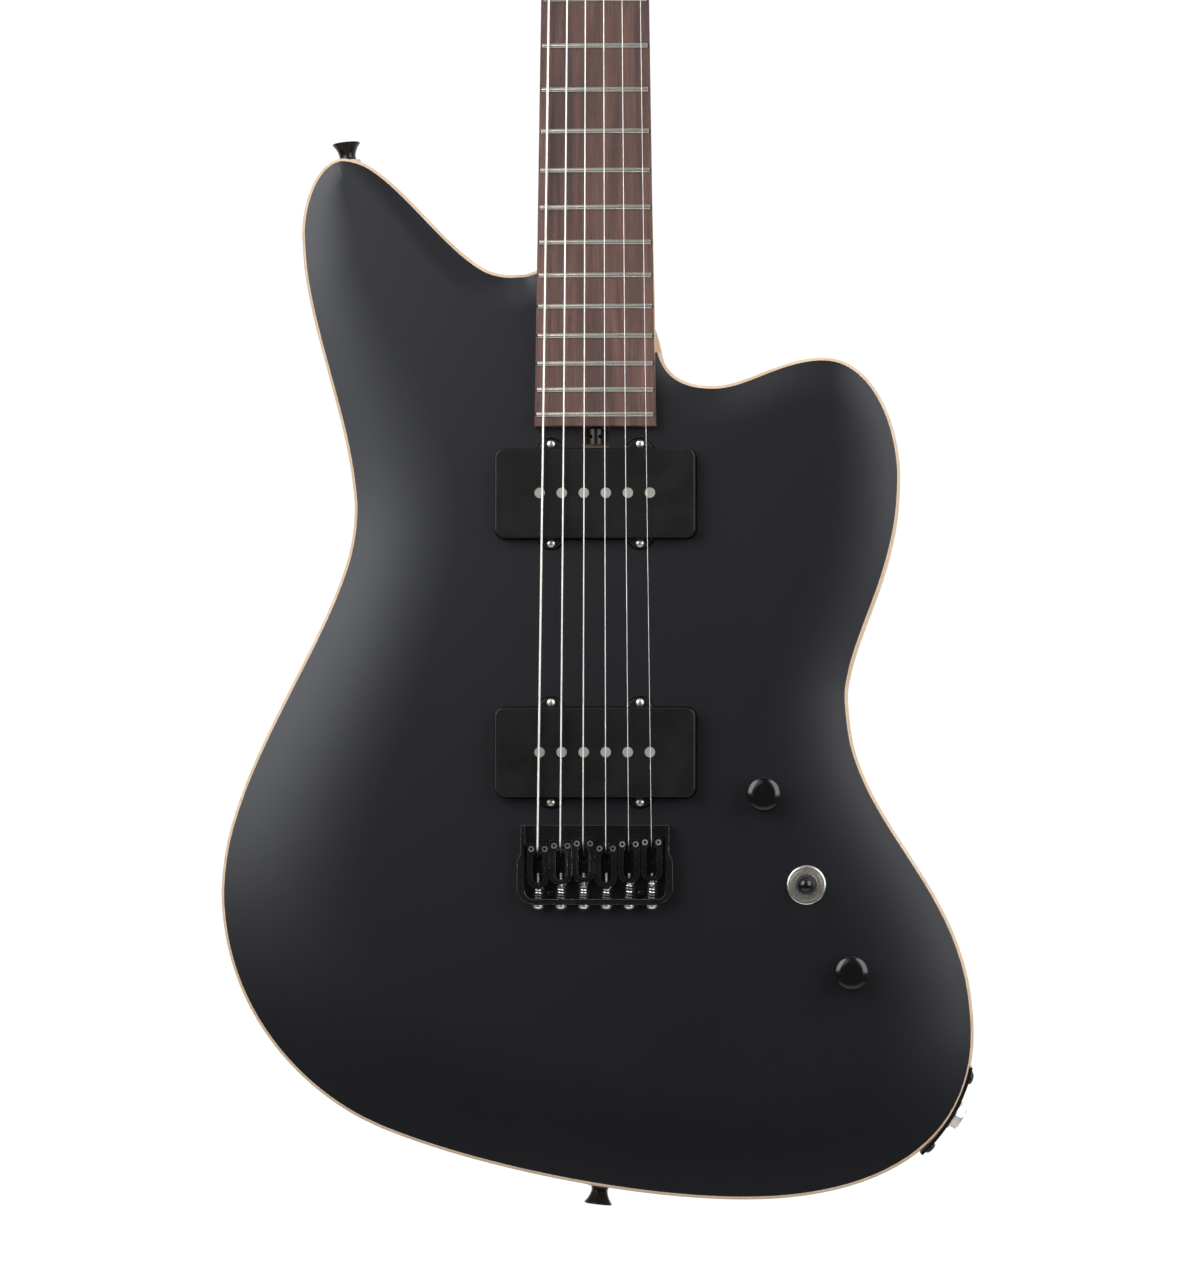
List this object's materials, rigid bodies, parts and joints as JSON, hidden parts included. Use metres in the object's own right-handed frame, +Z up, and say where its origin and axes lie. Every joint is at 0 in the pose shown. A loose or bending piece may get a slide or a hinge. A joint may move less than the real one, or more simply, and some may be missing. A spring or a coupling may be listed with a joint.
{
  "type": "electric guitar",
  "caption": "Solid-body electric guitar with an offset waist, black face over bare wood edges, bolt-on neck, two soapbar pickups, hardtail bridge, knobs, toggle and side jack.",
  "frame": {"origin": "middle of the neck just past the nut, where a wall hanger or stand yoke holds the headstock", "axes": "+Z up the neck towards the tip of the headstock, +X to the treble side, -Y out of the face"},
  "size_m": [0.3493, 0.0638, 1.0098],
  "materials": {
    "body_wood": "matt black painted face, bare satin wood sides and back",
    "neck_maple": "satin, straight grain",
    "rosewood": "open grained, dry oiled",
    "fret_wire": "polished nickel silver",
    "bone": "satin bone",
    "steel": "plain steel",
    "nickel": "nickel plated",
    "black_metal": "black plated, semi-gloss",
    "black_plastic": "satin black moulding",
    "knob_black": "smooth black",
    "magnet": "dull cast magnet, ground ends",
    "copper_wire": "enamelled winding",
    "string_steel": "nickel wound and plain steel",
    "brass": "spring brass",
    "wire_cloth": "cloth covered lead"
  },
  "bodies": {
    "guitar": {"body": "body_wood", "neck": "neck_maple", "fingerboard": "rosewood", "frets": "fret_wire", "nut": "bone", "truss_rod": "steel", "body_ferrules": "nickel", "neck_pickup_cover": "black_plastic", "bridge_pickup_cover": "black_plastic", "pickup_pole_magnets": "magnet", "pickup_bobbins": "black_plastic", "pickup_coils": "copper_wire", "pickup_screws": "nickel", "bridge_plate": "black_metal", "saddle_springs": "nickel", "strings": "string_steel", "tuner_housings": "black_metal", "tuner_bushings": "black_metal", "string_tree": "black_metal", "potentiometers": "steel", "toggle_switch_body": "steel", "toggle_ring": "nickel", "jack_plate": "black_metal", "jack_socket": "nickel", "strap_buttons": "black_metal", "control_cover": "black_plastic", "mounting_screws": "black_metal", "wiring": "wire_cloth"},
    "truss_nut": {"truss_rod_nut": "steel"},
    "volume_control": {"volume_knob": "knob_black", "volume_pot_shaft": "nickel"},
    "tone_control": {"tone_knob": "knob_black", "tone_pot_shaft": "nickel"},
    "pickup_toggle": {"toggle_lever": "nickel", "toggle_tip": "knob_black"},
    "jack_contact": {"jack_tip_spring": "brass"},
    "tuner_button_1": {"tuner_button_1": "black_metal"},
    "tuner_post_1": {"tuner_post_1": "nickel"},
    "saddle_1": {"saddle_1": "black_metal"},
    "intonation_screw_1": {"intonation_screw_1": "nickel"},
    "tuner_button_2": {"tuner_button_2": "black_metal"},
    "tuner_post_2": {"tuner_post_2": "nickel"},
    "saddle_2": {"saddle_2": "black_metal"},
    "intonation_screw_2": {"intonation_screw_2": "nickel"},
    "tuner_button_3": {"tuner_button_3": "black_metal"},
    "tuner_post_3": {"tuner_post_3": "nickel"},
    "saddle_3": {"saddle_3": "black_metal"},
    "intonation_screw_3": {"intonation_screw_3": "nickel"},
    "tuner_button_4": {"tuner_button_4": "black_metal"},
    "tuner_post_4": {"tuner_post_4": "nickel"},
    "saddle_4": {"saddle_4": "black_metal"},
    "intonation_screw_4": {"intonation_screw_4": "nickel"},
    "tuner_button_5": {"tuner_button_5": "black_metal"},
    "tuner_post_5": {"tuner_post_5": "nickel"},
    "saddle_5": {"saddle_5": "black_metal"},
    "intonation_screw_5": {"intonation_screw_5": "nickel"},
    "tuner_button_6": {"tuner_button_6": "black_metal"},
    "tuner_post_6": {"tuner_post_6": "nickel"},
    "saddle_6": {"saddle_6": "black_metal"},
    "intonation_screw_6": {"intonation_screw_6": "nickel"}
  },
  "joints": [
    {"name": "truss_nut_turn", "type": "hinge", "parent": "guitar", "child": "truss_nut", "pos_m": [0, 0.001, -0.48075], "axis": [0, 0, 1], "range_deg": [-180, 180]},
    {"name": "volume_turn", "type": "hinge", "parent": "guitar", "child": "volume_control", "pos_m": [0.078, 0, -0.6467], "axis": [0, -1, 0], "range_deg": [0, 280]},
    {"name": "tone_turn", "type": "hinge", "parent": "guitar", "child": "tone_control", "pos_m": [0.1183, 0, -0.7289], "axis": [0, -1, 0], "range_deg": [0, 280]},
    {"name": "toggle_tilt", "type": "hinge", "parent": "guitar", "child": "pickup_toggle", "pos_m": [0.0974, 0.003, -0.6887], "axis": [1, 0, 0], "range_deg": [-11, 11]},
    {"name": "jack_contact_flex", "type": "hinge", "parent": "guitar", "child": "jack_contact", "pos_m": [0.14762, 0.023, -0.79367], "axis": [0, -1, 0], "range_deg": [0, 8], "stiffness_Nm_per_rad": 0.02},
    {"name": "tuner_button_1_turn", "type": "hinge", "parent": "guitar", "child": "tuner_button_1", "pos_m": [-0.02252, 0.0226, 0.01599], "axis": [-0.9688, 0, 0.2478], "continuous": true},
    {"name": "tuner_post_1_turn", "type": "hinge", "parent": "guitar", "child": "tuner_post_1", "pos_m": [-0.02099, 0, 0.022], "axis": [0, -1, 0], "continuous": true},
    {"name": "intonation_screw_1_turn", "type": "hinge", "parent": "guitar", "child": "intonation_screw_1", "pos_m": [-0.02625, -0.006, -0.697], "axis": [0, 0, -1], "range_deg": [-1800, 1800]},
    {"name": "saddle_1_slide", "type": "slide", "parent": "guitar", "child": "saddle_1", "axis": [0, 0, -1], "range_m": [-0.0025, 0.0025], "deforming": ["saddle_springs", "strings"]},
    {"name": "tuner_button_2_turn", "type": "hinge", "parent": "guitar", "child": "tuner_button_2", "pos_m": [-0.01529, 0.0226, 0.04199], "axis": [-0.9688, 0, 0.2478], "continuous": true},
    {"name": "tuner_post_2_turn", "type": "hinge", "parent": "guitar", "child": "tuner_post_2", "pos_m": [-0.01375, 0, 0.048], "axis": [0, -1, 0], "continuous": true},
    {"name": "intonation_screw_2_turn", "type": "hinge", "parent": "guitar", "child": "intonation_screw_2", "pos_m": [-0.01575, -0.006, -0.697], "axis": [0, 0, -1], "range_deg": [-1800, 1800]},
    {"name": "saddle_2_slide", "type": "slide", "parent": "guitar", "child": "saddle_2", "axis": [0, 0, -1], "range_m": [-0.0025, 0.0025], "deforming": ["saddle_springs", "strings"]},
    {"name": "tuner_button_3_turn", "type": "hinge", "parent": "guitar", "child": "tuner_button_3", "pos_m": [-0.00833, 0.0226, 0.06799], "axis": [-0.9688, 0, 0.2478], "continuous": true},
    {"name": "tuner_post_3_turn", "type": "hinge", "parent": "guitar", "child": "tuner_post_3", "pos_m": [-0.00679, 0, 0.074], "axis": [0, -1, 0], "continuous": true},
    {"name": "intonation_screw_3_turn", "type": "hinge", "parent": "guitar", "child": "intonation_screw_3", "pos_m": [-0.00525, -0.006, -0.697], "axis": [0, 0, -1], "range_deg": [-1800, 1800]},
    {"name": "saddle_3_slide", "type": "slide", "parent": "guitar", "child": "saddle_3", "axis": [0, 0, -1], "range_m": [-0.0025, 0.0025], "deforming": ["saddle_springs", "strings"]},
    {"name": "tuner_button_4_turn", "type": "hinge", "parent": "guitar", "child": "tuner_button_4", "pos_m": [-0.00166, 0.0226, 0.09399], "axis": [-0.9688, 0, 0.2478], "continuous": true},
    {"name": "tuner_post_4_turn", "type": "hinge", "parent": "guitar", "child": "tuner_post_4", "pos_m": [-0.00012, 0, 0.1], "axis": [0, -1, 0], "continuous": true},
    {"name": "intonation_screw_4_turn", "type": "hinge", "parent": "guitar", "child": "intonation_screw_4", "pos_m": [0.00525, -0.006, -0.697], "axis": [0, 0, -1], "range_deg": [-1800, 1800]},
    {"name": "saddle_4_slide", "type": "slide", "parent": "guitar", "child": "saddle_4", "axis": [0, 0, -1], "range_m": [-0.0025, 0.0025], "deforming": ["saddle_springs", "strings"]},
    {"name": "tuner_button_5_turn", "type": "hinge", "parent": "guitar", "child": "tuner_button_5", "pos_m": [0.00468, 0.0226, 0.11999], "axis": [-0.9688, 0, 0.2478], "continuous": true},
    {"name": "tuner_post_5_turn", "type": "hinge", "parent": "guitar", "child": "tuner_post_5", "pos_m": [0.00622, 0, 0.126], "axis": [0, -1, 0], "continuous": true},
    {"name": "intonation_screw_5_turn", "type": "hinge", "parent": "guitar", "child": "intonation_screw_5", "pos_m": [0.01575, -0.006, -0.697], "axis": [0, 0, -1], "range_deg": [-1800, 1800]},
    {"name": "saddle_5_slide", "type": "slide", "parent": "guitar", "child": "saddle_5", "axis": [0, 0, -1], "range_m": [-0.0025, 0.0025], "deforming": ["saddle_springs", "strings"]},
    {"name": "tuner_button_6_turn", "type": "hinge", "parent": "guitar", "child": "tuner_button_6", "pos_m": [0.01073, 0.0226, 0.14599], "axis": [-0.9688, 0, 0.2478], "continuous": true},
    {"name": "tuner_post_6_turn", "type": "hinge", "parent": "guitar", "child": "tuner_post_6", "pos_m": [0.01227, 0, 0.152], "axis": [0, -1, 0], "continuous": true},
    {"name": "intonation_screw_6_turn", "type": "hinge", "parent": "guitar", "child": "intonation_screw_6", "pos_m": [0.02625, -0.006, -0.697], "axis": [0, 0, -1], "range_deg": [-1800, 1800]},
    {"name": "saddle_6_slide", "type": "slide", "parent": "guitar", "child": "saddle_6", "axis": [0, 0, -1], "range_m": [-0.0025, 0.0025], "deforming": ["saddle_springs", "strings"]}
  ],
  "couplings": [
    {"joint": "tuner_post_1_turn", "follows": "tuner_button_1_turn", "ratio": 0.055556},
    {"joint": "intonation_screw_1_turn", "follows": "saddle_1_slide", "rad_per_m": 12566},
    {"joint": "tuner_post_2_turn", "follows": "tuner_button_2_turn", "ratio": 0.055556},
    {"joint": "intonation_screw_2_turn", "follows": "saddle_2_slide", "rad_per_m": 12566},
    {"joint": "tuner_post_3_turn", "follows": "tuner_button_3_turn", "ratio": 0.055556},
    {"joint": "intonation_screw_3_turn", "follows": "saddle_3_slide", "rad_per_m": 12566},
    {"joint": "tuner_post_4_turn", "follows": "tuner_button_4_turn", "ratio": 0.055556},
    {"joint": "intonation_screw_4_turn", "follows": "saddle_4_slide", "rad_per_m": 12566},
    {"joint": "tuner_post_5_turn", "follows": "tuner_button_5_turn", "ratio": 0.055556},
    {"joint": "intonation_screw_5_turn", "follows": "saddle_5_slide", "rad_per_m": 12566},
    {"joint": "tuner_post_6_turn", "follows": "tuner_button_6_turn", "ratio": 0.055556},
    {"joint": "intonation_screw_6_turn", "follows": "saddle_6_slide", "rad_per_m": 12566}
  ]
}
